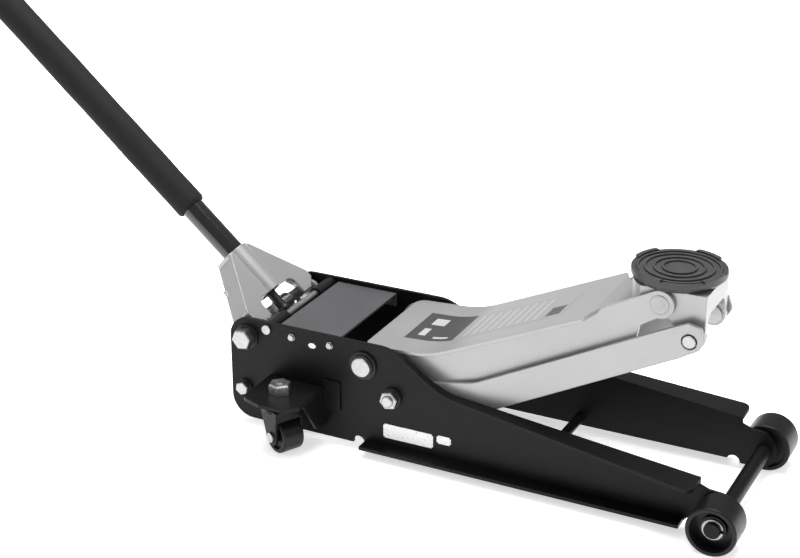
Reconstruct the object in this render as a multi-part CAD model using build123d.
from build123d import *
import os
from math import atan2, cos, degrees, hypot, radians, sin, tan

# Low trolley jack: two side plates carry a lift arm, a pair of radius links that keep the
# saddle level, a hydraulic power unit with its pump handle, two front rollers and two casters.
# X runs forward, Z up. Lengths are in millimetres and angles in degrees. The drawing's own X
# starts at the front axle; the finished set is centred over its footprint at the end.

# Chassis
chassis_gap = 178.8          # clear width between the side plates
plate = 5.0                  # side plate steel
plate_top = 163.5
plate_rear = -717.5
rear_top_radius = 29.0
rear_low_radius = 33.0
rear_bottom = 10.0
rail_bottom = 12.0
nose_bottom = 8.0
shoulder = -482.0            # where the top edge starts to fall
slope_start = -372.0
slope_start_height = 113.4
slope_end = -32.0
slope_end_height = 76.6
nose_reach = 18.0
nose_height = 61.0
top_flange_rear = -446.0
top_flange_rear_width = 3.0  # how far the flange stands out of the web at its thin end
top_flange_front_width = 38.5
top_flange_corner = 11.0
low_flange_rear = -505.0
low_flange_front = -49.5
low_flange_width = 23.0
rear_notch = -515.5
rear_notch_width = 17.0
rear_notch_top = 21.0
front_notch = -40.2
front_notch_width = 18.6
front_notch_top = 18.0

# Front rollers
roller_radius = 33.2
roller_width = 45.7
roller_gap = 4.4             # between the side plate and the roller
roller_recess = 11.0
roller_rim = 5.5
roller_hub = 17.0
roller_dish = 6.0            # hub standing out of the web, on both sides
axle_radius = 10.8
clip_groove = 1.5
axle_end_gap = 4.0           # axle end behind the roller's face
clip_width = 2.0
clip_rim = 3.2
clip_mouth = 5.0             # gap that lets the clip spring over the axle
roller_edge_radius = 2.2
spacer_rim = 6.0

# Lift arm and its links
arm_pivot_x = -507.5
arm_pivot_z = 130.6
arm_length = 423.4           # between the arm's two pivots
arm_angle = 20.9             # above level, as drawn
arm_low = 27.2               # travel down from there, until the links rest on the mid rod
arm_high = 29.0              # travel up from there
link_offset_x = 43.2         # from each arm pivot to the link pivot beside it
link_offset_z = -38.9
arm_plate = 5.0
arm_sheet_gap = 4.4          # arm sheet's edge inside the side plate
arm_sheet_slope = 24.2
arm_sheet_rear_slope = 3.0
arm_sheet_rear_reach = 4.5   # behind the rear pivot
arm_sheet_rear_rise = 26.4   # above the rear pivot
arm_sheet_over_tip = 16.4    # above the front pivot, on the sheet's own line
arm_sheet_bend = 150.0
arm_sheet_stop = 84.0        # behind the front pivot
arm_sheet_roll = 26.0
arm_sheet_corner = 15.0
cheek_gap = 1.0              # between arm cheek and link, at the rear
cheek_front_half = 52.5
cheek_bend_rear = 137.0      # ahead of the rear pivot
cheek_bend_front = 18.0      # behind the front pivot
cheek_rear_ring = 13.0       # steel round the shaft's bore
cheek_tip_radius = 18.8      # kept under the saddle through the whole lift
cheek_low_bend_z = -10.0     # under the rear pivot, at the bend
arm_notch_back = 78.0        # where the sheet narrows, behind the front pivot
sheet_wrap = 66.0            # how far the sheet's front end rolls down, past its own slope
plate_bend = 90.0            # bend radius of the cheeks and the links, seen from above
shaft_reach = 7.5            # shaft and its boss rings stand out of the side plates
shaft_disc = 2.4
arm_shaft_radius = 11.0
arm_tube_wall = 6.0
tip_pin_radius = 12.4
link_plate = 6.0
link_gap = 3.4               # between link and side plate, at the rear
link_front_half = 60.0
link_bend_rear = 120.0       # ahead of its rear pivot
link_bend_front = 27.0       # behind its front pivot
link_depth = 41.0
link_slope = 25.9
link_tip_rise = 3.0          # middle of the link above its front pivot
link_bolt_radius = 8.0
link_pin_radius = 8.7
link_pin_gap = 1.9           # open pivot at the front of the link
link_nut = 23.5              # over its flats
link_nut_height = 10.0
link_washer = 3.5

# Saddle and its bracket
bracket_half = 46.0
saddle_ahead = 6.76          # saddle's axis in front of the arm's front pivot
saddle_rise = 36.56          # saddle's top above that pivot
saddle_radius = 61.1
saddle_height = 17.6
saddle_post_radius = 16.0
saddle_post_reach = 30.0     # under the bracket's seat
saddle_rim = 6.2
saddle_pad_depth = 7.0
saddle_pad_rise = 1.4        # pad's rings above the lower rim
saddle_ring_height = 2.6
saddle_ring_width = 3.4
saddle_taper = 7.5
saddle_tab_rise = 3.4        # four tabs standing on the rim
saddle_tab_width = 37.0
saddle_tab_turn = 66.5
bracket_nose = 58.0
bracket_reach = 58.46        # in front of the arm's front pivot
bracket_drop = 17.64         # under that pivot
bracket_lug = 22.0
bracket_leg_radius = 16.5
bracket_arch = 74.0
bracket_arch_drop = 9.64     # crown of the arch under the pivot

# Handle and its socket
handle_pivot_x = -690.2
handle_pivot_z = 136.6
handle_angle = 40.9          # above level, leaning back
handle_offset = 7.7          # handle centre line in front of the pivot
handle_radius = 16.85
handle_wall = 2.5
handle_start = 34.0          # all along the handle from its pivot
handle_split = 800.0
handle_end = 1100.0
foam_start = 197.0
foam_end = 760.0
foam_wall = 5.75
grip_start = 950.0
grip_wall = 2.75
socket_top = 108.0
socket_top_half = 24.5
socket_flare = 24.0
socket_gap = 5.8             # between the socket's cheek and the side plate
socket_face = 20.0           # front of the face plate, ahead of the pivot
socket_back = -12.0
socket_plate = 5.0
socket_tube_wall = 4.15
socket_lug_radius = 19.0
socket_window_half = 47.0
socket_window_top = 30.0
socket_window_corner = 12.0
handle_bolt_radius = 10.0
handle_bolt_head = 26.5      # over its flats
handle_bolt_height = 11.5
handle_washer = 3.0          # each of the two under the head
handle_down = 26.0           # pump travel from the drawn position
handle_up = 42.0
pump_arm = 35.0              # pump roller from the pivot
pump_arm_angle = -77.0
pump_roller_radius = 7.0
pump_side = 29.0
pump_lug_half = 17.0         # clear width between the roller's lugs, halved
pump_lug_plate = 5.0
pump_pin_radius = 4.0
socket_back_along = 55.0     # middle of the plate that closes the socket's back
socket_back_half = 56.0
cross_bar_radius = 8.0
cross_bar_along = 10.0       # up the handle from the pivot
cross_bar_drop = -11.0       # behind the pivot
release_ball = 8.0
release_stem = 5.0
release_gap = 7.0            # open universal joint, from the ball to the valve's head
release_reach = 58.0         # valve's tip below the pivot, along the handle

# Power unit
ram_lever = 70.0
ram_height = 64.0
ram_radius = 16.0
ram_pin_radius = 10.0
ram_lug_plate = 8.0
ram_slot_gap = 0.9
crosshead_half = 20.0
crosshead_wall = 12.0
cylinder_radius = 38.0
cylinder_front = -568.0
block_rear = -664.0
block_front = -615.0
block_top = 118.0
block_bottom = 22.0
block_half = 45.0
plunger_radius = 8.0
unit_bolt_x = -696.6
unit_bolt_z = 57.4
unit_bolt_radius = 6.0
unit_foot_half = 60.0
unit_washer = 2.5
unit_head = 17.5             # over its flats
unit_head_height = 8.5
spring_bar_radius = 5.0      # bar that holds the arm springs' fixed ends
spring_bar_x = -626.0
spring_side = 57.0           # arm springs from the middle
spring_coil = 6.5
spring_wire = 2.2

# Cross pieces and cover
mid_rod_x = -262.0
mid_rod_z = 24.0
mid_rod_radius = 7.0
tie_x = -658.0
tie_z = 153.0
tie_radius = 5.5
tie_sleeve_radius = 9.3
tie_sleeve_inner = 44.0
cover_rear = -644.0
cover_front = -549.4
cover_top = 158.0
cover_sheet = 3.0
cover_lip = 20.0
cover_screw_radius = 4.0
cover_screw_z = 149.2

# Casters
caster_x = -615.0
caster_swing_gap = 3.26      # between the side plate and the wheel's whole swing
caster_room = 34.0           # from the wheel's top to the top of the bracket
caster_plate = 5.0
caster_plate_rear = -655.0
caster_plate_front = -568.0
caster_plate_reach = 46.0    # outside the swivel
caster_wheel_radius = 25.0
caster_wheel_width = 33.0
caster_trail = 8.5
caster_turn = 63.0           # axle direction from X, seen from above
caster_leg = 4.0
caster_stem_radius = 6.0
caster_race_radius = 23.0
caster_race_height = 13.7
caster_nut = 28.0            # over its flats
caster_fork_plate = 4.5
caster_axle_radius = 5.0
caster_head_radius = 7.2
caster_hub = 8.5
caster_wheel_edge = 3.0

# Clearances
running_gap = 0.05           # radial, shaft in bore
side_gap = 0.4               # between faces that move past each other
fit_gap = 0.0

half_gap = chassis_gap / 2
web_face = half_gap + plate
roller_outer = web_face + roller_gap + roller_width
arm_sheet_half = half_gap - arm_sheet_gap
link_rear_half = half_gap - link_gap
cheek_rear_half = link_rear_half - link_plate - cheek_gap
socket_half = half_gap - socket_gap
caster_swing = hypot(caster_trail + caster_wheel_radius, caster_wheel_width / 2)
caster_half = web_face + caster_swing + caster_swing_gap
caster_plate_outer = caster_half + caster_plate_reach
tip_x = arm_pivot_x + arm_length * cos(radians(arm_angle))
tip_z = arm_pivot_z + arm_length * sin(radians(arm_angle))
saddle_x = tip_x + saddle_ahead
saddle_top = tip_z + saddle_rise
bracket_front = tip_x + bracket_reach
bracket_floor = tip_z - bracket_drop
bracket_arch_top = tip_z - bracket_arch_drop
arm_tube_radius = arm_shaft_radius + arm_tube_wall
cheek_rear_radius = arm_shaft_radius + cheek_rear_ring
socket_tube_radius = handle_radius + socket_tube_wall
foam_radius = handle_radius + foam_wall
grip_radius = handle_radius + grip_wall
caster_plate_top = 2 * caster_wheel_radius + caster_room
link_rear_x = arm_pivot_x + link_offset_x
link_rear_z = arm_pivot_z + link_offset_z
link_tip_x = tip_x + link_offset_x
link_tip_z = tip_z + link_offset_z
handle_frame = Plane(
    origin=(handle_pivot_x, 0, handle_pivot_z),
    x_dir=(-cos(radians(handle_angle)), 0, sin(radians(handle_angle))),
    z_dir=(sin(radians(handle_angle)), 0, cos(radians(handle_angle))),
)


# ---------- shapes used by more than one piece ----------

def upright(y):
    """Plane facing -Y at a given y, drawn on in X and Z."""
    return Plane(origin=(0, y, 0), x_dir=(1, 0, 0), z_dir=(0, -1, 0))


def slab(face, y_low, y_high):
    """Solid between two y values from a face drawn in X and Z."""
    return extrude(upright(y_high) * face, amount=y_high - y_low, dir=(0, -1, 0))


def tower(face, z_low, z_high):
    """Solid between two heights from a face drawn in X and Y."""
    return extrude(Plane.XY.offset(z_low) * face, amount=z_high - z_low, dir=(0, 0, 1))


def wall_x(face, x_low, x_high):
    """Solid between two x values from a face drawn in Y and Z."""
    crosswise = Plane(origin=(x_low, 0, 0), x_dir=(0, 1, 0), z_dir=(1, 0, 0))
    return extrude(crosswise * face, amount=x_high - x_low, dir=(1, 0, 0))


def rod_y(radius, y_low, y_high, x, z):
    """Round bar across the jack."""
    return Pos(x, (y_low + y_high) / 2, z) * Rot(90, 0, 0) * Cylinder(radius, y_high - y_low)


def rod_x(radius, x_low, x_high, y, z):
    """Round bar along the jack."""
    return Pos((x_low + x_high) / 2, y, z) * Rot(0, 90, 0) * Cylinder(radius, x_high - x_low)


def hex_y(across, y_low, y_high, x, z, turn=0):
    """Hexagon across the jack, by its distance over flats."""
    face = RegularPolygon(across / 2, 6, major_radius=False, rotation=turn)
    return slab(Pos(x, z) * face, y_low, y_high)


def polygon(*points):
    """Face of straight edges, at the coordinates given."""
    return make_face(Polyline(*points, close=True))


def round_corner(face, point, radius):
    """The face with its corner nearest a point rounded."""
    corner = face.vertices().sort_by_distance(Vector(*point))[0]
    return fillet(corner, radius)


def both_sides(shape):
    """A piece on the left (+Y) and its mirror image on the right."""
    return [shape, mirror(shape, about=Plane.XZ)]


def group(*shapes):
    """Several solids written as one node."""
    return Compound(children=[solid for shape in shapes for solid in shape.solids()])


def coil(radius, wire, length, turns):
    """Round-wire helical spring standing on XY."""
    path = Helix(pitch=length / turns, height=length, radius=radius)
    start = Plane(origin=path @ 0, z_dir=path % 0)
    return sweep(start * Circle(wire / 2), path=path)


# ---------- chassis ----------

def under_top_edge(drop):
    """Region below the plate's falling top edge, moved down by a drop."""
    fall = degrees(atan2(slope_end_height - slope_start_height, slope_end - slope_start))
    with BuildSketch() as region:
        with BuildLine():
            top = Spline(
                (shoulder, plate_top - drop),
                (slope_start, slope_start_height - drop),
                tangents=((1, 0), (cos(radians(fall)), sin(radians(fall)))),
                tangent_scalars=(0.9, 0.9),
            )
            Polyline(
                top @ 1,
                (slope_end, slope_end_height - drop),
                (slope_end, nose_bottom - plate),
                (shoulder, nose_bottom - plate),
                top @ 0,
            )
        make_face()
    return region.sketch


def notch(x, width, top):
    """Round-topped relief in the plate's lower edge."""
    lobe = Pos(x, top - width / 2) * Circle(width / 2)
    mouth = Pos(x, (top - width / 2) / 2) * Rectangle(width, top - width / 2)
    return lobe + mouth


def web():
    """Outline of the side plate, in X and Z."""
    rear = polygon(
        (plate_rear, rear_bottom),
        (plate_rear, plate_top),
        (shoulder, plate_top),
        (shoulder, rail_bottom),
        (rear_notch, rail_bottom),
        (rear_notch, rear_bottom),
    )
    rear = round_corner(rear, (plate_rear, plate_top), rear_top_radius)
    rear = round_corner(rear, (plate_rear, rear_bottom), rear_low_radius)
    rail = under_top_edge(0) & Pos((shoulder + slope_end) / 2, plate_top / 2 + rail_bottom) * (
        Rectangle(slope_end - shoulder, plate_top)
    )
    nose = polygon(
        (slope_end, nose_bottom),
        (slope_end, nose_height + 6),
        (slope_end + 12, nose_height + 1.5),
        (slope_end + 34, nose_height),
        (nose_reach, nose_height - 20),
        (nose_reach, nose_bottom + 16),
        (nose_reach - 14, nose_bottom),
    )
    nose = round_corner(nose, (slope_end + 34, nose_height), 12)
    nose = round_corner(nose, (slope_end + 12, nose_height + 1.5), 10)
    face = rear + rail + nose
    face -= notch(rear_notch, rear_notch_width, rear_notch_top)
    face -= notch(front_notch, front_notch_width, front_notch_top)
    return face


def top_flange():
    """Flange turned outwards along the falling top edge, wider to the front."""
    strip = under_top_edge(0) - under_top_edge(plate)
    plan = polygon(
        (top_flange_rear, half_gap + plate / 2),
        (top_flange_rear, web_face + top_flange_rear_width),
        (slope_end, web_face + top_flange_front_width),
        (slope_end, half_gap + plate / 2),
    )
    tip = (slope_end, web_face + top_flange_front_width)
    plan = round_corner(plan, tip, top_flange_corner)
    reach = web_face + top_flange_front_width + plate
    return slab(strip, half_gap, reach) & tower(plan, 0, plate_top)


def low_flange():
    """Flange turned outwards along the plate's lower edge."""
    plan = polygon(
        (low_flange_rear, half_gap + plate / 2),
        (low_flange_rear, web_face + low_flange_width - 2),
        (low_flange_front, web_face + low_flange_width + 1),
        (low_flange_front, half_gap + plate / 2),
    )
    return tower(plan, rail_bottom, rail_bottom + plate)


def web_holes():
    """Every bore through the web, as one set of cutters."""
    holes = [
        (axle_radius, 0, roller_radius),
        (arm_shaft_radius, arm_pivot_x, arm_pivot_z),
        (link_bolt_radius, link_rear_x, link_rear_z),
        (handle_bolt_radius, handle_pivot_x, handle_pivot_z),
        (unit_bolt_radius, unit_bolt_x, unit_bolt_z),
        (tie_radius, tie_x, tie_z),
    ]
    holes += [(cover_screw_radius, x, cover_screw_z) for x in cover_screw_places()]
    cutters = Part()
    for radius, x, z in holes:
        cutters += rod_y(radius + fit_gap, half_gap - plate, web_face + plate, x, z)
    return cutters


def side_plate():
    """Left side plate: pressed channel opening outwards."""
    body = slab(web(), half_gap, web_face) + top_flange() + low_flange()
    return body - web_holes()


def cover_screw_places():
    """Where the cover's four screws sit along X."""
    return (cover_rear + 25.5, cover_front - 9.6)


def mid_rod():
    """Bar across the rails under the lift arm."""
    return rod_y(mid_rod_radius, -half_gap, half_gap, mid_rod_x, mid_rod_z)


def tie_rod():
    """Rear tie rod with a screwed button head on each end."""
    bar = rod_y(tie_radius, -web_face - 1, web_face + 1, tie_x, tie_z)
    for side in (-1, 1):
        low, high = sorted((side * web_face, side * (web_face + 3.2)))
        bar += rod_y(tie_radius + 1.2, low, high, tie_x, tie_z)
    return bar


def tie_sleeves():
    """Dark spacer sleeves on the tie rod."""
    tube = rod_y(tie_sleeve_radius, tie_sleeve_inner, half_gap, tie_x, tie_z)
    tube -= rod_y(tie_radius, tie_sleeve_inner - 1, half_gap + 1, tie_x, tie_z)
    return group(*both_sides(tube))


def cover_plate():
    """Folded cover over the power unit, held by four screws through the side plates."""
    middle = (cover_rear + cover_front) / 2
    length = cover_front - cover_rear
    wide = 2 * half_gap
    sheet = Pos(middle, 0, cover_top - cover_lip / 2) * Box(length, wide, cover_lip)
    sheet = fillet(sheet.edges().filter_by(Axis.X).group_by(Axis.Z)[-1], 2.5)
    inside = Pos(middle, 0, cover_top - cover_sheet - cover_lip / 2)
    sheet -= inside * Box(length + 2, wide - 2 * cover_sheet, cover_lip)
    for x in cover_screw_places():
        sheet -= rod_y(cover_screw_radius, -half_gap - 1, half_gap + 1, x, cover_screw_z)
    return sheet


def cover_screws():
    """Screws that hold the cover, with small hexagon heads outside."""
    screws = []
    for x in cover_screw_places():
        shank = rod_y(cover_screw_radius, half_gap - cover_sheet - 4, web_face, x, cover_screw_z)
        head = rod_y(cover_screw_radius + 1.2, web_face, web_face + 1.2, x, cover_screw_z)
        head += hex_y(7.5, web_face, web_face + 4.0, x, cover_screw_z)
        screws += both_sides(shank + head)
    return group(*screws)


# ---------- front rollers ----------

def front_axle():
    """Fixed axle with a groove for a clip near each end."""
    end = roller_outer - axle_end_gap
    bar = rod_y(axle_radius, -end, end, 0, roller_radius)
    for groove in both_sides(clip_ring(axle_radius + 1)):
        bar -= groove
    rims = bar.edges().filter_by(GeomType.CIRCLE).sort_by(Axis.Y)
    return chamfer([rims[0], rims[-1]], 1.0)


def clip_place():
    """Inner face of the clip that keeps a roller on."""
    return roller_outer - roller_recess + side_gap


def clip_ring(outer):
    """Spring clip standing in the axle's groove."""
    ring = rod_y(outer, clip_place(), clip_place() + clip_width, 0, roller_radius)
    return ring - rod_y(axle_radius - clip_groove, 0, roller_outer, 0, roller_radius)


def axle_clips():
    """Clips on both ends of the front axle, each with a gap to spring over it."""
    ring = clip_ring(axle_radius + clip_rim)
    slot = Pos(axle_radius, clip_place() + clip_width / 2, roller_radius) * Box(
        axle_radius, clip_width * 2, clip_mouth
    )
    return group(*both_sides(ring - slot))


def roller_spacers():
    """Washers between the side plates and the rollers."""
    reach = web_face + roller_gap - side_gap
    ring = rod_y(axle_radius + spacer_rim, web_face, reach, 0, roller_radius)
    ring -= rod_y(axle_radius, web_face - 1, roller_outer, 0, roller_radius)
    return group(*both_sides(ring))


def front_roller():
    """Left roller: wide rim on a web and a hub, hollow on its outer side."""
    inner = roller_outer - roller_width
    wheel = rod_y(roller_radius, inner, roller_outer, 0, roller_radius)
    wheel = fillet(wheel.edges().filter_by(GeomType.CIRCLE), roller_edge_radius)
    floor = roller_outer - roller_recess
    hollow = rod_y(roller_radius - roller_rim, floor - roller_dish, roller_outer + 1,
                   0, roller_radius)
    hub = rod_y(roller_hub, floor - roller_dish - 1, floor, 0, roller_radius)
    wheel -= hollow - hub
    back = rod_y(roller_radius - roller_rim, inner - 1, inner + roller_dish, 0, roller_radius)
    wheel -= back - rod_y(roller_hub, inner - 2, inner + roller_dish + 1, 0, roller_radius)
    wheel -= rod_y(axle_radius + running_gap, inner - 1, roller_outer + 1, 0, roller_radius)
    return wheel


# ---------- lift arm ----------

def sheet_line(x):
    """Height of the arm sheet's straight front run above any X."""
    return tip_z + arm_sheet_over_tip + (x - tip_x) * tan(radians(arm_sheet_slope))


def sheet_bend():
    """Corner where the level rear run of the arm sheet meets its sloping run."""
    rear = tan(radians(arm_sheet_rear_slope))
    front = tan(radians(arm_sheet_slope))
    start_x = arm_pivot_x - arm_sheet_rear_reach
    start_z = arm_pivot_z + arm_sheet_rear_rise
    x = (start_z - rear * start_x - sheet_line(0)) / (front - rear)
    return (x, start_z + rear * (x - start_x))


def sheet_strip(low, high):
    """Side view of a layer of the arm sheet, between two depths under its top."""
    slope = radians(arm_sheet_slope)
    start = (arm_pivot_x - arm_sheet_rear_reach, arm_pivot_z + arm_sheet_rear_rise)
    stop_x = tip_x - arm_sheet_stop
    stop = (stop_x, sheet_line(stop_x))
    middle = (low + high) / 2
    across = (sin(slope) * middle, -cos(slope) * middle)
    corner = sheet_bend()
    bend = FilletPolyline(
        (start[0], start[1] - middle),
        (corner[0] + across[0] / 2, corner[1] - middle),
        (stop[0] + across[0], stop[1] + across[1]),
        radius=arm_sheet_bend,
    )
    turn = -(arm_sheet_slope + sheet_wrap)
    roll = JernArc(bend @ 1, bend % 1, arm_sheet_roll - middle, turn)
    return trace(bend + roll, high - low)


def arm_sheet():
    """Top sheet: wide over the cheeks, then narrowed to run down between them."""
    notch_x = tip_x - arm_notch_back
    narrow = arm_inner_half(notch_x) + 4
    outline = polygon(
        (arm_pivot_x - 20, arm_sheet_half),
        (notch_x - 12, arm_sheet_half),
        (notch_x, narrow),
        (tip_x, cheek_front_half - arm_plate),
        (tip_x, -cheek_front_half + arm_plate),
        (notch_x, -narrow),
        (notch_x - 12, -arm_sheet_half),
        (arm_pivot_x - 20, -arm_sheet_half),
    )
    rear = arm_pivot_x - arm_sheet_rear_reach
    outline &= Pos(rear + 250, 0) * Rectangle(500, 2 * arm_sheet_half)
    for side in (-1, 1):
        outline = round_corner(outline, (rear, side * arm_sheet_half), arm_sheet_corner)
        outline = round_corner(outline, (notch_x - 12, side * arm_sheet_half), 6)
    flat = slab(sheet_strip(0, arm_plate), -arm_sheet_half, arm_sheet_half)
    body = flat & tower(outline, 0, saddle_top + arm_length)
    for cheek in both_sides(arm_cheek()):
        body -= cheek
    return body


def arm_inner_half(x):
    """Inner face of the cheeks at any X."""
    share = (x - arm_pivot_x - cheek_bend_rear) / (
        tip_x - cheek_bend_front - arm_pivot_x - cheek_bend_rear
    )
    share = min(max(share, 0), 1)
    return cheek_rear_half - arm_plate - share * (cheek_rear_half - cheek_front_half)


def plan_band(points, radius, width):
    """Bent plate seen from above, from the middle line of its thickness."""
    return trace(FilletPolyline(*points, radius=radius), width)


def cheek_outline():
    """Side view of an arm cheek, in X and Z."""
    link_line = tan(radians(link_slope))
    low_x = arm_pivot_x + cheek_bend_rear + 6
    low_z = arm_pivot_z + cheek_low_bend_z
    arch_x = tip_x - 24
    corner = sheet_bend()
    notch_x = tip_x - arm_notch_back + 4
    start_z = arm_pivot_z + arm_sheet_rear_rise - arm_plate
    face = polygon(
        (arm_pivot_x - arm_sheet_rear_reach, start_z),
        (corner[0], corner[1] - arm_plate),
        (notch_x - 8, sheet_line(notch_x - 8) - arm_plate / cos(radians(arm_sheet_slope))),
        (notch_x, sheet_line(notch_x)),
        (tip_x - 9, tip_z + cheek_tip_radius - 2.5),
        (tip_x, tip_z),
        (tip_x - 2, tip_z - cheek_tip_radius),
        (arch_x, tip_z - 33),
        (arch_x - 4, low_z + (arch_x - 4 - low_x) * link_line),
        (low_x, low_z),
        (arm_pivot_x + 40, arm_pivot_z - 20),
        (arm_pivot_x, arm_pivot_z - cheek_rear_radius),
        (arm_pivot_x - 12, arm_pivot_z),
    )
    face = round_corner(face, (corner[0], corner[1] - arm_plate), arm_sheet_bend + arm_plate)
    face = round_corner(face, (low_x, low_z), 60)
    face += Pos(tip_x, tip_z) * Circle(cheek_tip_radius)
    rear = Pos(arm_pivot_x, arm_pivot_z) * Circle(cheek_rear_radius)
    face += rear
    return face


def arm_cheek():
    """Left cheek of the arm: level with the chassis at the rear, drawn in to the saddle."""
    thick = cheek_rear_half - arm_plate / 2
    thin = cheek_front_half - arm_plate / 2
    band = plan_band(
        [
            (arm_pivot_x - 60, thick),
            (arm_pivot_x + cheek_bend_rear, thick),
            (tip_x - cheek_bend_front, thin),
            (tip_x + 60, thin),
        ],
        plate_bend,
        arm_plate,
    )
    body = slab(cheek_outline(), 0, cheek_rear_half + 1) & tower(band, 0, saddle_top)
    body -= rod_y(arm_shaft_radius + running_gap, 0, half_gap, arm_pivot_x, arm_pivot_z)
    body -= rod_y(tip_pin_radius, 0, half_gap, tip_x, tip_z)
    return body


def arm_tube():
    """Bearing tube between the cheeks, with the ram's lugs welded under it."""
    half = cheek_rear_half - arm_plate
    tube = rod_y(arm_tube_radius, -half, half, arm_pivot_x, arm_pivot_z)
    for lug in both_sides(ram_lug()):
        tube += lug
    return tube - rod_y(arm_shaft_radius + running_gap, -half, half, arm_pivot_x, arm_pivot_z)


def ram_lug():
    """Left one of the two lugs that the ram's cross pin goes through."""
    low = arm_pivot_z - ram_lever
    inner = crosshead_half + side_gap * 4
    face = Pos(arm_pivot_x, (arm_pivot_z + low) / 2) * Rectangle(2 * arm_tube_radius, ram_lever)
    face += Pos(arm_pivot_x, low) * Circle(arm_tube_radius)
    lug = slab(face, inner, inner + ram_lug_plate)
    return lug - rod_y(ram_pin_radius, 0, half_gap, arm_pivot_x, low)


def ram_pin():
    """Cross pin through the lugs; the springs hook over its ends."""
    return rod_y(ram_pin_radius, -spring_side - 7, spring_side + 7, arm_pivot_x,
                 arm_pivot_z - ram_lever)


def arm_shaft():
    """Main pivot shaft, fixed in the side plates, with a disc on each end."""
    reach = web_face + shaft_reach
    bar = rod_y(arm_shaft_radius, -reach, reach, arm_pivot_x, arm_pivot_z)
    disc = rod_y(arm_shaft_radius + 2.8, reach, reach + shaft_disc, arm_pivot_x, arm_pivot_z)
    disc = chamfer(disc.edges().filter_by(GeomType.CIRCLE).sort_by(Axis.Y)[-1], 0.8)
    return bar + both_sides(disc)


def arm_shaft_rings():
    """Stepped boss rings round the shaft, against the side plates."""
    step = web_face + shaft_reach / 2
    ring = rod_y(arm_shaft_radius + 9, web_face, step, arm_pivot_x, arm_pivot_z)
    ring += rod_y(arm_shaft_radius + 5.5, step, web_face + shaft_reach, arm_pivot_x, arm_pivot_z)
    ring -= rod_y(arm_shaft_radius, half_gap, web_face + 9, arm_pivot_x, arm_pivot_z)
    return group(*both_sides(ring))


def tip_pins():
    """Saddle bracket's two pivot pins, flush with the cheeks and clear of the saddle's post."""
    reach = cheek_front_half + 0.6
    pin = rod_y(tip_pin_radius, saddle_post_radius + 6, reach, tip_x, tip_z)
    pin = fillet(pin.edges().filter_by(GeomType.CIRCLE), 0.5)
    return group(*both_sides(pin))


# ---------- radius links ----------

def link_outline():
    """Side view of a link: level with the rails at the rear, then up beside the arm."""
    slope = tan(radians(link_slope))
    half = link_depth / 2
    across = half / cos(radians(link_slope))
    bend_x = link_rear_x + link_bend_rear
    mid_z = link_tip_z + link_tip_rise
    bend_z = mid_z + (bend_x - link_tip_x) * slope
    face = polygon(
        (link_rear_x, link_rear_z + half - 1),
        (bend_x - 4, bend_z + across),
        (link_tip_x - 4, mid_z - 4 * slope + across),
        (link_tip_x + 14, link_tip_z + 20),
        (link_tip_x + 20.5, link_tip_z + 3),
        (link_tip_x + 13.5, link_tip_z - 9.5),
        (link_tip_x - 14, mid_z - 14 * slope - across),
        (bend_x + 6, bend_z + 6 * slope - across),
        (link_rear_x, link_rear_z - half + 1),
    )
    face = round_corner(face, (bend_x - 4, bend_z + across), 60)
    face = round_corner(face, (bend_x + 6, bend_z + 6 * slope - across), 100)
    face = round_corner(face, (link_tip_x + 20.5, link_tip_z + 3), 7)
    face = round_corner(face, (link_tip_x - 4, mid_z - 4 * slope + across), 8)
    face += Pos(link_rear_x, link_rear_z) * Circle(half - 1)
    return face


def link():
    """Left radius link: bent plate outside the arm cheek."""
    thick = link_rear_half - link_plate / 2
    thin = link_front_half - link_plate / 2
    band = plan_band(
        [
            (link_rear_x - 60, thick),
            (link_rear_x + link_bend_rear, thick),
            (link_tip_x - link_bend_front, thin),
            (link_tip_x + 60, thin),
        ],
        plate_bend,
        link_plate,
    )
    body = slab(link_outline(), 0, half_gap) & tower(band, 0, saddle_top)
    body -= rod_y(link_bolt_radius + running_gap, 0, half_gap, link_rear_x, link_rear_z)
    body -= rod_y(link_pin_radius + link_pin_gap, 0, half_gap, link_tip_x, link_tip_z)
    return body


def link_bolts():
    """Shoulder studs that the links turn on, ending flush inside the link."""
    inner = link_rear_half - link_plate + 0.2
    reach = web_face + link_washer + link_nut_height + 3.5
    bolt = rod_y(link_bolt_radius, inner, reach, link_rear_x, link_rear_z)
    bolt = chamfer(bolt.edges().filter_by(GeomType.CIRCLE).sort_by(Axis.Y)[-1], 1.2)
    return group(*both_sides(bolt))


def link_nuts():
    """Nuts on the studs, outside the side plates."""
    low = web_face + link_washer
    nut = hex_y(link_nut, low, low + link_nut_height, link_rear_x, link_rear_z, 12)
    nut = chamfer(nut.edges().group_by(Axis.Y)[-1], 1.2)
    nut -= rod_y(link_bolt_radius, half_gap, web_face + 20, link_rear_x, link_rear_z)
    return group(*both_sides(nut))


def link_spacers():
    """Washers between the links and the side plates."""
    ring = rod_y(14, link_rear_half + side_gap, half_gap, link_rear_x, link_rear_z)
    ring -= rod_y(link_bolt_radius, 0, half_gap + 1, link_rear_x, link_rear_z)
    return group(*both_sides(ring))


# ---------- saddle bracket and saddle ----------

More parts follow.
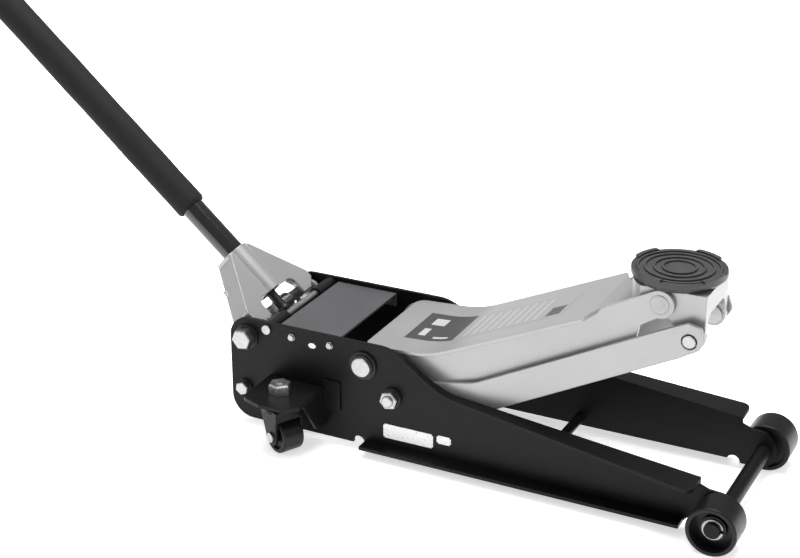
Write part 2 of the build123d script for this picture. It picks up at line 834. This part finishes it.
def bracket_body():
    """Cast bracket: saddle seat with a round nose, pivot lug and two front legs."""
    seat = saddle_top - saddle_height
    plan = Pos(saddle_x, 0) * Circle(bracket_nose)
    plan += Pos((saddle_x + bracket_front) / 2, 0) * Rectangle(
        bracket_front - saddle_x, 2 * bracket_half
    )
    plan &= Pos((saddle_x + bracket_front) / 2, 0) * Rectangle(400, 2 * bracket_half)
    plan &= Pos(bracket_front - 200, 0) * Rectangle(400, 2 * bracket_half)
    head = tower(plan, bracket_floor, seat)
    nose_cut = polygon(
        (saddle_x - bracket_nose - 5, bracket_floor - 5),
        (saddle_x - bracket_nose - 5, seat - 16),
        (saddle_x - bracket_nose + 2, seat - 20),
        (tip_x - bracket_lug - 6, bracket_floor - 5),
    )
    head -= slab(nose_cut, -bracket_half - 1, bracket_half + 1)
    lug = rod_y(bracket_lug, -bracket_half, bracket_half, tip_x, tip_z)
    lug &= Pos(tip_x, 0, seat - bracket_lug) * Box(100, 2 * bracket_half, 2 * bracket_lug)
    leg_face = polygon(
        (tip_x + 8, bracket_floor + 2),
        (bracket_front, bracket_floor + 2),
        (link_tip_x + bracket_leg_radius - 1.2, link_tip_z),
        (link_tip_x - bracket_leg_radius, link_tip_z),
    )
    leg_face += Pos(link_tip_x, link_tip_z) * Circle(bracket_leg_radius)
    body = head + lug + slab(leg_face, -bracket_half, bracket_half)
    body -= arch()
    boss = rod_y(bracket_leg_radius - 3, bracket_half, link_front_half - link_plate - 1.2,
                 link_tip_x, link_tip_z)
    for side in both_sides(boss):
        body += side
    for pin in both_sides(rod_y(tip_pin_radius + running_gap, saddle_post_radius + 6,
                                half_gap, tip_x, tip_z)):
        body -= pin
    body -= rod_y(link_pin_radius, -half_gap, half_gap, link_tip_x, link_tip_z)
    body -= Pos(saddle_x, 0, seat) * Cylinder(saddle_post_radius + running_gap, 4 * bracket_half)
    clip_room = Pos(saddle_x, 0, saddle_clip_top() + side_gap - bracket_half)
    return body - clip_room * Cylinder(saddle_post_radius + 4, 2 * bracket_half)


def arch():
    """Round-topped opening between the bracket's two legs."""
    crown = 16
    face = Pos(0, bracket_arch_top - 40) * Rectangle(bracket_arch, 80)
    face = fillet(face.vertices().group_by(Axis.Y)[-1], crown)
    return wall_x(face, tip_x + bracket_lug + 1, bracket_front + 20)


def link_pins():
    """Pins in the bracket's legs that the links hang on, headed inside the legs."""
    inner = bracket_arch / 2
    pin = rod_y(link_pin_radius, inner, link_front_half + 1.6, link_tip_x, link_tip_z)
    pin = fillet(pin.edges().filter_by(GeomType.CIRCLE).sort_by(Axis.Y)[-1], 1.2)
    pin += rod_y(link_pin_radius + 4, inner - 3, inner, link_tip_x, link_tip_z)
    return group(*both_sides(pin))


def saddle_cup():
    """Saddle casting: dish with a notched rim, a seat flange and a post."""
    seat = saddle_top - saddle_height
    low = seat + side_gap
    dish = Pos(saddle_x, 0, (low + saddle_top) / 2) * Cylinder(saddle_radius, saddle_top - low)
    dish = chamfer(dish.edges().group_by(Axis.Z)[0], saddle_taper)
    inner = saddle_radius - saddle_rim
    pad_floor = saddle_top - saddle_pad_depth
    dish -= Pos(saddle_x, 0, (pad_floor + saddle_top + 1) / 2) * Cylinder(
        inner, saddle_top + 1 - pad_floor
    )
    lowered = Pos(saddle_x, 0, saddle_top) * Cylinder(saddle_radius + 1, 2 * saddle_tab_rise)
    for turn in range(4):
        tab = Pos(saddle_x, 0, saddle_top) * Rot(0, 0, saddle_tab_turn + 90 * turn)
        lowered -= tab * Pos(saddle_radius, 0, 0) * Box(20, saddle_tab_width, 9)
    dish -= lowered
    post = Pos(saddle_x, 0, seat - saddle_post_reach / 2 + 2)
    dish += post * Cylinder(saddle_post_radius, saddle_post_reach + 4)
    return dish


def saddle_pad():
    """Rubber pad in the dish, with raised concentric rings."""
    inner = saddle_radius - saddle_rim
    pad_floor = saddle_top - saddle_pad_depth
    top = saddle_top - saddle_tab_rise + saddle_pad_rise
    height = top - saddle_ring_height - pad_floor
    pad = Pos(saddle_x, 0, pad_floor + height / 2) * Cylinder(inner, height)
    for share in (0.995, 0.83, 0.62, 0.42):
        outer = inner * share
        ring = Cylinder(outer, saddle_ring_height)
        ring -= Cylinder(outer - saddle_ring_width, saddle_ring_height)
        ring = fillet(ring.edges().group_by(Axis.Z)[-1], 0.9)
        pad += Pos(saddle_x, 0, top - saddle_ring_height / 2) * ring
    return pad


def saddle_clip():
    """Clip under the bracket that keeps the saddle post in."""
    ring = Cylinder(saddle_post_radius + 2.6, 1.8) - Cylinder(saddle_post_radius, 1.8)
    return Pos(saddle_x, 0, saddle_clip_top() - 0.9) * ring


def saddle_clip_top():
    """Height of the clip's upper face, just above the post's end."""
    return saddle_top - saddle_height - saddle_post_reach + 2.3


# ---------- handle and socket ----------

def along(shape):
    """Place a shape drawn along the handle: X up the handle, Z forward of it."""
    return handle_frame * shape


def tube_along(radius, start, end):
    """Round bar on the handle's own axis."""
    return along(Pos((start + end) / 2, 0, handle_offset) * Rot(0, 90, 0) * (
        Cylinder(radius, end - start)
    ))


def socket_profile():
    """Side view of the socket's cheeks, up the handle and forward of it."""
    face = polygon(
        (socket_top - 2, socket_back - 1),
        (socket_top - 2, socket_face),
        (socket_plate * 3, socket_face),
        (0, socket_plate),
        (0, -socket_lug_radius),
        (socket_lug_radius, socket_back - 2),
    )
    return face + Circle(socket_lug_radius)


def socket_side():
    """Cheek folded back from the face plate, along its flaring edge."""
    half = socket_plate / 2
    run = FilletPolyline(
        (socket_top + 20, socket_top_half - half - 14),
        (socket_top - 4, socket_top_half - half),
        (socket_flare, socket_half - half),
        (-40, socket_half - half),
        radius=6,
    )
    band = trace(run, socket_plate)
    return tower(band, -60, 60) & slab(socket_profile(), 0, half_gap)


def socket_window():
    """Opening low in the face, over the release joint."""
    height = socket_window_top + 40
    face = Pos(socket_window_top - height / 2, 0) * Rectangle(height, 2 * socket_window_half)
    face = fillet(face.vertices().group_by(Axis.X)[-1], socket_window_corner)
    return tower(face, socket_face - 2 * socket_plate, socket_face + 20)


def handle_socket():
    """Pressed yoke that holds the handle: face plate, folded cheeks, tube and top cap."""
    outline = polygon(
        (socket_top - 3, socket_top_half),
        (socket_flare, socket_half),
        (socket_flare - 10, socket_half),
        (socket_flare - 23, socket_half - 17),
        (socket_flare - 24, 0),
        (socket_top - 3, 0),
    )
    outline += mirror(outline, about=Plane.XZ)
    face = tower(outline, socket_face - socket_plate, socket_face)
    cap_face = Pos((socket_face + socket_back - 3) / 2, 0) * RectangleRounded(
        socket_face - socket_back + 3, 2 * socket_top_half + 3, 7
    )
    cap_plane = Plane(origin=(socket_top - 5, 0, 0), x_dir=(0, 0, 1), z_dir=(1, 0, 0))
    body = face + extrude(cap_plane * cap_face, amount=5, dir=(1, 0, 0))
    for cheek in (socket_side(), mirror(socket_side(), about=Plane.XZ)):
        body += cheek
    body -= socket_window()
    middle = (socket_window_top + socket_top) / 2
    tube = Pos(middle, 0, handle_offset) * Rot(0, 90, 0)
    body += tube * Cylinder(socket_tube_radius, socket_top - socket_window_top)
    back = Pos(socket_back_along, 0, socket_back + 1) * Box(34, 2 * socket_back_half, 3)
    body += back
    bar = Pos(cross_bar_along, 0, cross_bar_drop) * Rot(90, 0, 0) * Cylinder(
        cross_bar_radius, 2 * socket_half - socket_plate
    )
    body += bar
    lug_middle = pump_lug_half + pump_lug_plate / 2
    for side in (-1, 1):
        body += Pos(0, side * lug_middle - pump_side, 0) * pump_lug()
    body -= tube * Cylinder(handle_radius + running_gap, 2 * socket_top)
    body -= Rot(90, 0, 0) * Cylinder(handle_bolt_radius + running_gap, chassis_gap)
    return along(body) + pump_roller_pin()


def pump_lug():
    """Lug between the cross bar and the pump roller."""
    x, z = pump_roller_place()
    centre = handle_frame.to_local_coords(Vector(x, 0, z))
    hull = make_hull(
        (Pos(centre.X, centre.Z) * Circle(8)).edges()
        + (Pos(cross_bar_along, cross_bar_drop) * Circle(cross_bar_radius - 0.5)).edges()
    )
    return slab(hull, -pump_lug_plate / 2, pump_lug_plate / 2)


def pump_roller_place():
    """Centre of the roller that works the pump, in X and Z."""
    turn = radians(pump_arm_angle)
    return handle_pivot_x + pump_arm * cos(turn), handle_pivot_z + pump_arm * sin(turn)


def pump_roller():
    """Roller between the socket's lugs, on its pin."""
    x, z = pump_roller_place()
    ring = rod_y(pump_roller_radius, pump_side - pump_lug_half + side_gap,
                 pump_side + pump_lug_half - side_gap, x, z)
    return ring - rod_y(pump_pin_radius + running_gap, -half_gap, half_gap, x, z)


def pump_roller_pin():
    """Pin riveted into the two lugs."""
    x, z = pump_roller_place()
    reach = pump_lug_half + pump_lug_plate + 1
    return rod_y(pump_pin_radius, pump_side - reach, pump_side + reach, x, z)


def socket_bolts():
    """Large hexagon bolts that the socket swings on."""
    inner = socket_half - socket_plate - 4
    low = web_face + 2 * handle_washer
    high = low + handle_bolt_height
    bolt = rod_y(handle_bolt_radius, inner, low, handle_pivot_x, handle_pivot_z)
    head = hex_y(handle_bolt_head, low, high, handle_pivot_x, handle_pivot_z, 8)
    head = chamfer(head.edges().group_by(Axis.Y)[-1], 1.4)
    return group(*both_sides(bolt + head))


def socket_washers():
    """Stacked washers under the socket bolts' heads and beside the cheeks."""
    rings = []
    for low, high, wider in (
        (web_face, web_face + handle_washer, 7.5),
        (web_face + handle_washer, web_face + 2 * handle_washer, 5.0),
        (socket_half + side_gap, half_gap, 6.0),
    ):
        ring = rod_y(handle_bolt_radius + wider, low, high, handle_pivot_x, handle_pivot_z)
        ring -= rod_y(handle_bolt_radius, low - 1, high + 1, handle_pivot_x, handle_pivot_z)
        rings += both_sides(ring)
    return group(*rings)


def torsion_spring():
    """Return spring wound on the socket's cross bar."""
    wire = coil(cross_bar_radius + 2.6, 2.6, 2 * pump_lug_half - 4, 8)
    start = pump_side - pump_lug_half + 2
    return along(Pos(cross_bar_along, -start, cross_bar_drop) * Rot(90, 0, 0) * wire)


def handle_lower_tube():
    """Lower half of the handle, from the socket to the joint."""
    tube = tube_along(handle_radius, handle_start, handle_split)
    tube -= tube_along(handle_radius - handle_wall, handle_start - 1, handle_split + 1)
    return tube


def handle_upper_tube():
    """Upper half, swaged to slide inside the lower one."""
    inner = handle_radius - handle_wall - running_gap
    tube = tube_along(handle_radius, handle_split + 0.5, handle_end)
    tube += tube_along(inner, handle_split - 70, handle_split + 1)
    tube -= tube_along(inner - handle_wall, handle_split - 80, handle_end + 1)
    return tube


def foam_grip():
    """Foam sleeve round the handle, which keeps it off the bodywork."""
    sleeve = tube_along(foam_radius, foam_start, foam_end)
    sleeve = fillet(sleeve.edges().filter_by(GeomType.CIRCLE), 2.0)
    return sleeve - tube_along(handle_radius, foam_start - 1, foam_end + 1)


def hand_grip():
    """Ribbed rubber grip at the top end of the handle."""
    sleeve = tube_along(grip_radius, grip_start, handle_end)
    sleeve -= tube_along(handle_radius, grip_start - 1, handle_end + 1)
    ribs = 8
    pitch = (handle_end - grip_start - 20) / ribs
    for rib in range(ribs):
        start = grip_start + 10 + rib * pitch
        groove = tube_along(grip_radius + 1, start, start + pitch * 0.35)
        sleeve -= groove - tube_along(grip_radius - 1.2, start - 1, start + pitch)
    return sleeve


def end_cap():
    """Plug that closes the top of the handle."""
    stem = handle_radius - 2 * handle_wall - running_gap
    cap = tube_along(grip_radius, handle_end, handle_end + 5)
    cap = fillet(cap.edges().filter_by(GeomType.CIRCLE), 1.8)
    return cap + tube_along(stem, handle_end - 18, handle_end + 1)


def release_fork():
    """Plug in the foot of the handle, ending in the ball of the release joint."""
    inner = handle_radius - handle_wall
    fork = tube_along(inner, handle_start, handle_start + 30)
    stem = tube_along(release_stem + 2, 0, handle_start + 1)
    ball = along(Pos(0, 0, handle_offset) * Sphere(release_ball))
    pin = along(Pos(0, 0, handle_offset) * Rot(90, 0, 0) * Cylinder(2.5, 2 * release_ball + 8))
    return fork + stem + ball + pin


def release_valve():
    """Valve stem screwed into the pump block, in line with the handle as drawn."""
    top = -release_ball - release_gap
    stem = tube_along(release_stem, -release_reach, top)
    return stem + tube_along(release_stem + 1.5, top - 8, top)


# ---------- power unit ----------

def pump_block():
    """Cast block with the plunger bore, the valve bore and two side feet."""
    length = block_front - block_rear
    middle = (block_front + block_rear) / 2
    height = block_top - block_bottom
    body = Pos(middle, 0, (block_top + block_bottom) / 2) * Box(length, 2 * block_half, height)
    body = fillet(body.edges().filter_by(Axis.Z), 6)
    foot = Pos((unit_bolt_x + block_rear) / 2, 0, unit_bolt_z) * Box(
        block_rear - unit_bolt_x + 24, 2 * unit_foot_half, 34
    )
    body += foot
    boss = rod_y(12, 50, half_gap, unit_bolt_x, unit_bolt_z)
    for side in both_sides(boss):
        body += side
    body -= rod_y(unit_bolt_radius, -half_gap, half_gap, unit_bolt_x, unit_bolt_z)
    z = pump_roller_place()[1]
    body -= rod_x(plunger_radius + 6, block_rear - 1, spring_seat(), pump_side, z)
    body -= rod_x(plunger_radius + running_gap, block_rear, plunger_end() + pump_push() + 1,
                  pump_side, z)
    pocket = 2 * (pump_lug_half + pump_lug_plate + 2)
    body -= Pos(block_rear, pump_side, block_top) * Box(20, pocket, 2 * (block_top - z + 12))
    body -= rod_x(ram_radius + running_gap, block_rear + 4, block_front + 1, 0, ram_height)
    body -= tube_along(release_stem + running_gap, -release_reach - 2, 0)
    reach = spring_side + spring_coil
    bar_z = arm_pivot_z - ram_lever
    for low in (block_half - 1, -reach):
        body += rod_y(spring_bar_radius, low, low + reach - block_half + 1, spring_bar_x, bar_z)
    return body


def unit_bolts():
    """Hexagon bolts through the side plates into the pump block's feet."""
    low = web_face + unit_washer
    bolt = rod_y(unit_bolt_radius, 52, low, unit_bolt_x, unit_bolt_z)
    head = hex_y(unit_head, low, low + unit_head_height, unit_bolt_x, unit_bolt_z, 20)
    head = chamfer(head.edges().group_by(Axis.Y)[-1], 1.0)
    return group(*both_sides(bolt + head))


def plate_washers():
    """Washers under the link nuts and the unit bolts' heads."""
    rings = []
    for bore, wider, thick, x, z in (
        (link_bolt_radius, 6.5, link_washer, link_rear_x, link_rear_z),
        (unit_bolt_radius, 5.5, unit_washer, unit_bolt_x, unit_bolt_z),
    ):
        ring = rod_y(bore + wider, web_face, web_face + thick, x, z)
        ring -= rod_y(bore, web_face - 1, web_face + thick + 1, x, z)
        rings += both_sides(ring)
    return group(*rings)


def plunger_head():
    """X of the plunger's working face, just ahead of the pump roller."""
    return pump_roller_place()[0] + pump_roller_radius + 1.3


def plunger_end():
    """X of the plunger's inner end."""
    return plunger_head() + 40


def pump_push():
    """How far the roller can push the plunger in from where it is drawn."""
    return pump_arm * sin(radians(handle_down))


def spring_seat():
    """X of the shoulder that the pump spring rests on."""
    return block_rear + 22


def pump_plunger():
    """Plunger with a head that the roller pushes."""
    x, z = pump_roller_place()
    bar = rod_x(plunger_radius, plunger_head(), plunger_end(), pump_side, z)
    return bar + rod_x(plunger_radius + 4, plunger_head(), plunger_head() + 4, pump_side, z)


def pump_spring():
    """Return spring round the plunger."""
    z = pump_roller_place()[1]
    low = plunger_head() + 4.3
    high = spring_seat() - 0.5
    wire = coil(plunger_radius + 2.3, 1.8, high - low - 1.8, 4)
    return Pos(low + 0.9, pump_side, z) * Rot(0, 90, 0) * wire


def ram_cylinder():
    """Cylinder with the oil jacket round it, bolted to the front of the block."""
    body = rod_x(cylinder_radius, block_front, cylinder_front - 6, 0, ram_height)
    body += rod_x(cylinder_radius - 7, cylinder_front - 6, cylinder_front, 0, ram_height)
    return body - rod_x(ram_radius + running_gap, block_front - 1, cylinder_front + 1, 0, ram_height)


def ram_piston():
    """Ram rod, from inside the cylinder to the crosshead."""
    travel = ram_lever * sin(radians(arm_low))
    start = block_rear + 5 + travel
    return rod_x(ram_radius, start, arm_pivot_x - crosshead_length() / 2, 0, ram_height)


def crosshead_length():
    """Length of the crosshead along the ram."""
    return 2 * (ram_pin_radius + ram_slot_gap + crosshead_wall)


def ram_crosshead():
    """Slotted head on the ram that pushes the arm's cross pin."""
    rise = ram_lever * (1 - cos(radians(max(arm_low, arm_high))))
    pin_low = arm_pivot_z - ram_lever
    low = pin_low - ram_pin_radius - ram_slot_gap
    high = pin_low + rise + ram_pin_radius + ram_slot_gap
    height = high - low + 2 * crosshead_wall * 0.7
    middle = (low + high) / 2
    body = Pos(arm_pivot_x, 0, middle) * Box(crosshead_length(), 2 * crosshead_half, height)
    slot = Pos(arm_pivot_x, middle) * Rectangle(
        2 * (ram_pin_radius + ram_slot_gap), high - low
    )
    slot = fillet(slot.vertices(), ram_pin_radius * 0.95)
    return body - slab(slot, -crosshead_half - 1, crosshead_half + 1)


def arm_springs():
    """Pair of extension springs that pull the arm down when the valve is opened."""
    start = spring_bar_x + spring_bar_radius + 1
    end = arm_pivot_x - ram_pin_radius - 1
    body = coil(spring_coil, spring_wire, end - start - 16, 16)
    wire = Pos(start + 8, spring_side, arm_pivot_z - ram_lever) * Rot(0, 90, 0) * body
    return group(wire, mirror(wire, about=Plane.XZ))


def filler_plug():
    """Rubber plug in the top of the cylinder's oil jacket."""
    top = ram_height + cylinder_radius
    x = (block_front + cylinder_front) / 2
    plug = Pos(x, 0, top + 1) * Cylinder(6, 6)
    return plug - rod_x(cylinder_radius, block_front, cylinder_front, 0, ram_height)


# ---------- casters ----------

def caster_axle_dir():
    """Direction of the left caster's axle, seen from above."""
    return cos(radians(caster_turn)), -sin(radians(caster_turn))


def caster_place():
    """Middle of the left caster's wheel, behind its swivel."""
    ax, ay = caster_axle_dir()
    return caster_x - ay * caster_trail, caster_half + ax * caster_trail


def caster_bracket():
    """Folded bracket welded outside the side plate, over the left caster."""
    low = caster_plate_top - caster_plate
    plan = polygon(
        (caster_plate_rear, web_face),
        (caster_plate_rear, caster_plate_outer - 12),
        (caster_x - 8, caster_plate_outer),
        (caster_x + 28, caster_plate_outer),
        (caster_plate_front, caster_plate_outer - 16),
        (caster_plate_front, web_face),
    )
    for x, y, radius in (
        (caster_plate_rear, caster_plate_outer - 12, 12),
        (caster_x + 28, caster_plate_outer, 14),
        (caster_plate_front, caster_plate_outer - 16, 10),
    ):
        plan = round_corner(plan, (x, y), radius)
    body = tower(plan, low, caster_plate_top)
    reach = caster_plate_outer - 16
    gusset = polygon(
        (web_face, caster_plate_top - 1),
        (reach - 6, caster_plate_top - 1),
        (reach - 16, low - 10),
        (web_face + 30, 34),
        (web_face, 30),
    )
    body += wall_x(gusset, caster_plate_front - 1, caster_plate_front + 3)
    heel = polygon(
        (web_face, caster_plate_top - 1),
        (reach, caster_plate_top - 1),
        (reach - 20, low - 8),
        (web_face, low - 8),
    )
    body += wall_x(heel, caster_plate_rear, caster_plate_rear + 4)
    lip = Pos(caster_plate_front + 12, web_face + 2, caster_plate_top - 8)
    body += lip * Box(26, 4, 42)
    return body - Pos(caster_x, caster_half, low) * Cylinder(caster_stem_radius, 40)


def caster_stem():
    """Bolt that the left fork swivels on, with its nut on top of the bracket."""
    low = caster_plate_top - caster_plate - caster_race_height - caster_fork_plate - 6.8
    nut_height = caster_nut * 0.52
    top = caster_plate_top + nut_height + 1.5
    stem = Cylinder(caster_stem_radius, top - low, align=(Align.CENTER, Align.CENTER, Align.MIN))
    head = Cylinder(9, 5.5, align=(Align.CENTER, Align.CENTER, Align.MIN))
    nut = extrude(RegularPolygon(caster_nut / 2, 6, major_radius=False, rotation=15),
                  amount=nut_height)
    nut = chamfer(nut.edges().group_by(Axis.Z)[-1], 1.8)
    body = Pos(0, 0, low) * (stem + head) + Pos(0, 0, caster_plate_top) * nut
    return Pos(caster_x, caster_half, 0) * body


def caster_race():
    """Silver ball race under the bracket."""
    low = caster_plate_top - caster_plate - caster_race_height
    ring = Cylinder(caster_race_radius, caster_race_height)
    ring -= Cylinder(caster_stem_radius, caster_race_height)
    ring = chamfer(ring.edges().filter_by(GeomType.CIRCLE).group_by(Axis.Z)[0], 2.5)
    return Pos(caster_x, caster_half, low + caster_race_height / 2) * ring


def caster_fork():
    """Swivel fork: round top, two legs beside the wheel and an arched front."""
    top = caster_plate_top - caster_plate - caster_race_height - 0.3
    low = top - caster_fork_plate
    wide = caster_wheel_width / 2 + 1.5
    disc = Pos(0, 0, low) * Cylinder(caster_race_radius + 2, caster_fork_plate,
                                     align=(Align.CENTER, Align.CENTER, Align.MIN))
    leg_face = polygon((-20, top), (20, top), (caster_trail + 12, caster_wheel_radius),
                       (caster_trail - 12, caster_wheel_radius))
    leg_face += Pos(caster_trail, caster_wheel_radius) * Circle(12.5)
    body = disc
    for side in (-1, 1):
        edge = side * (wide + caster_leg)
        inner, outer = sorted((side * wide, edge))
        leg = slab(leg_face, inner, outer)
        leg -= rod_y(caster_axle_radius, -60, 60, caster_trail, caster_wheel_radius)
        body += leg
    span = 2 * wide + 2 * caster_leg
    bridge = Pos(caster_trail - 4, 0, top - 8) * Box(34, span, 16)
    bridge -= rod_y(caster_wheel_radius + 3, -span, span, caster_trail, caster_wheel_radius)
    bridge -= Pos(0, 0, low - 10) * Cylinder(11, 20)
    body += bridge
    body -= Pos(0, 0, low) * Cylinder(caster_stem_radius + running_gap, 40)
    return caster_frame() * body


def caster_frame():
    """Placement of the left caster's own axes: X along its roll, Y along its axle."""
    return Pos(caster_x, caster_half, 0) * Rot(0, 0, 90 - caster_turn)


def caster_wheel():
    """Left caster's wheel, crowned, with a hub on each side."""
    half = caster_wheel_width / 2
    wheel = rod_y(caster_wheel_radius, -half, half, caster_trail, caster_wheel_radius)
    wheel = fillet(wheel.edges().filter_by(GeomType.CIRCLE), caster_wheel_edge)
    for side in (-1, 1):
        low, high = sorted((side * (half - 4), side * (half + 1)))
        hollow = rod_y(caster_wheel_radius - 6, low, high, caster_trail, caster_wheel_radius)
        hollow -= rod_y(caster_hub, low - 1, high + 1, caster_trail, caster_wheel_radius)
        wheel -= hollow
    bore = caster_axle_radius + running_gap
    wheel -= rod_y(bore, -half - 1, half + 1, caster_trail, caster_wheel_radius)
    return caster_frame() * wheel


def caster_axle():
    """Axle rivet through the left fork and wheel, with a domed head on each end."""
    reach = caster_wheel_width / 2 + 1.5 + caster_leg
    pin = rod_y(caster_axle_radius, -reach, reach, caster_trail, caster_wheel_radius)
    for side in (-1, 1):
        low, high = sorted((side * reach, side * (reach + 3)))
        pin += rod_y(caster_head_radius, low, high, caster_trail, caster_wheel_radius)
    return caster_frame() * pin


# ---------- the set ----------

def build_nodes():
    """Every node of the jack by name, in the drawing's own place."""
    nodes = {
        "mid_cross_rod": mid_rod(),
        "rear_tie_rod": tie_rod(),
        "tie_rod_sleeves": tie_sleeves(),
        "cover_plate": cover_plate(),
        "cover_screws": cover_screws(),
        "front_axle": front_axle(),
        "axle_clips": axle_clips(),
        "roller_spacers": roller_spacers(),
        "arm_top_sheet": arm_sheet(),
        "arm_bearing_tube": arm_tube(),
        "arm_ram_pin": ram_pin(),
        "arm_pivot_shaft": arm_shaft(),
        "arm_shaft_rings": arm_shaft_rings(),
        "saddle_bracket_pins": tip_pins(),
        "link_bolts": link_bolts(),
        "link_nuts": link_nuts(),
        "link_spacers": link_spacers(),
        "saddle_bracket": bracket_body(),
        "link_front_pins": link_pins(),
        "saddle_cup": saddle_cup(),
        "saddle_pad": saddle_pad(),
        "saddle_clip": saddle_clip(),
        "handle_socket": handle_socket(),
        "pump_roller": pump_roller(),
        "socket_bolts": socket_bolts(),
        "socket_washers": socket_washers(),
        "socket_spring": torsion_spring(),
        "handle_lower_tube": handle_lower_tube(),
        "handle_upper_tube": handle_upper_tube(),
        "foam_sleeve": foam_grip(),
        "hand_grip": hand_grip(),
        "handle_end_cap": end_cap(),
        "release_fork": release_fork(),
        "release_valve": release_valve(),
        "pump_block": pump_block(),
        "unit_bolts": unit_bolts(),
        "plate_washers": plate_washers(),
        "pump_plunger": pump_plunger(),
        "pump_spring": pump_spring(),
        "ram_cylinder": ram_cylinder(),
        "ram_piston": ram_piston(),
        "ram_crosshead": ram_crosshead(),
        "arm_springs": arm_springs(),
        "filler_plug": filler_plug(),
    }
    paired = {
        "side_plate": side_plate,
        "front_roller": front_roller,
        "radius_link": link,
        "caster_fork": caster_fork,
        "caster_wheel": caster_wheel,
        "caster_axle": caster_axle,
    }
    for name, make in paired.items():
        left, right = both_sides(make())
        nodes[name + "_left"] = left
        nodes[name + "_right"] = right
    grouped = {
        "arm_cheeks": arm_cheek,
        "caster_brackets": caster_bracket,
        "caster_stems": caster_stem,
        "caster_races": caster_race,
    }
    for name, make in grouped.items():
        nodes[name] = group(*both_sides(make()))
    return nodes


def footprint_middle(nodes):
    """X halfway between the rearmost and the foremost point of the set."""
    boxes = [shape.bounding_box() for shape in nodes.values()]
    return (min(box.min.X for box in boxes) + max(box.max.X for box in boxes)) / 2


nodes = build_nodes()
middle_x = footprint_middle(nodes)
os.makedirs("parts", exist_ok=True)
for name, shape in nodes.items():
    export_step(Pos(-middle_x, 0, 0) * shape, "parts/" + name + ".step")
print("nodes", len(nodes), "middle_x", round(middle_x, 4))
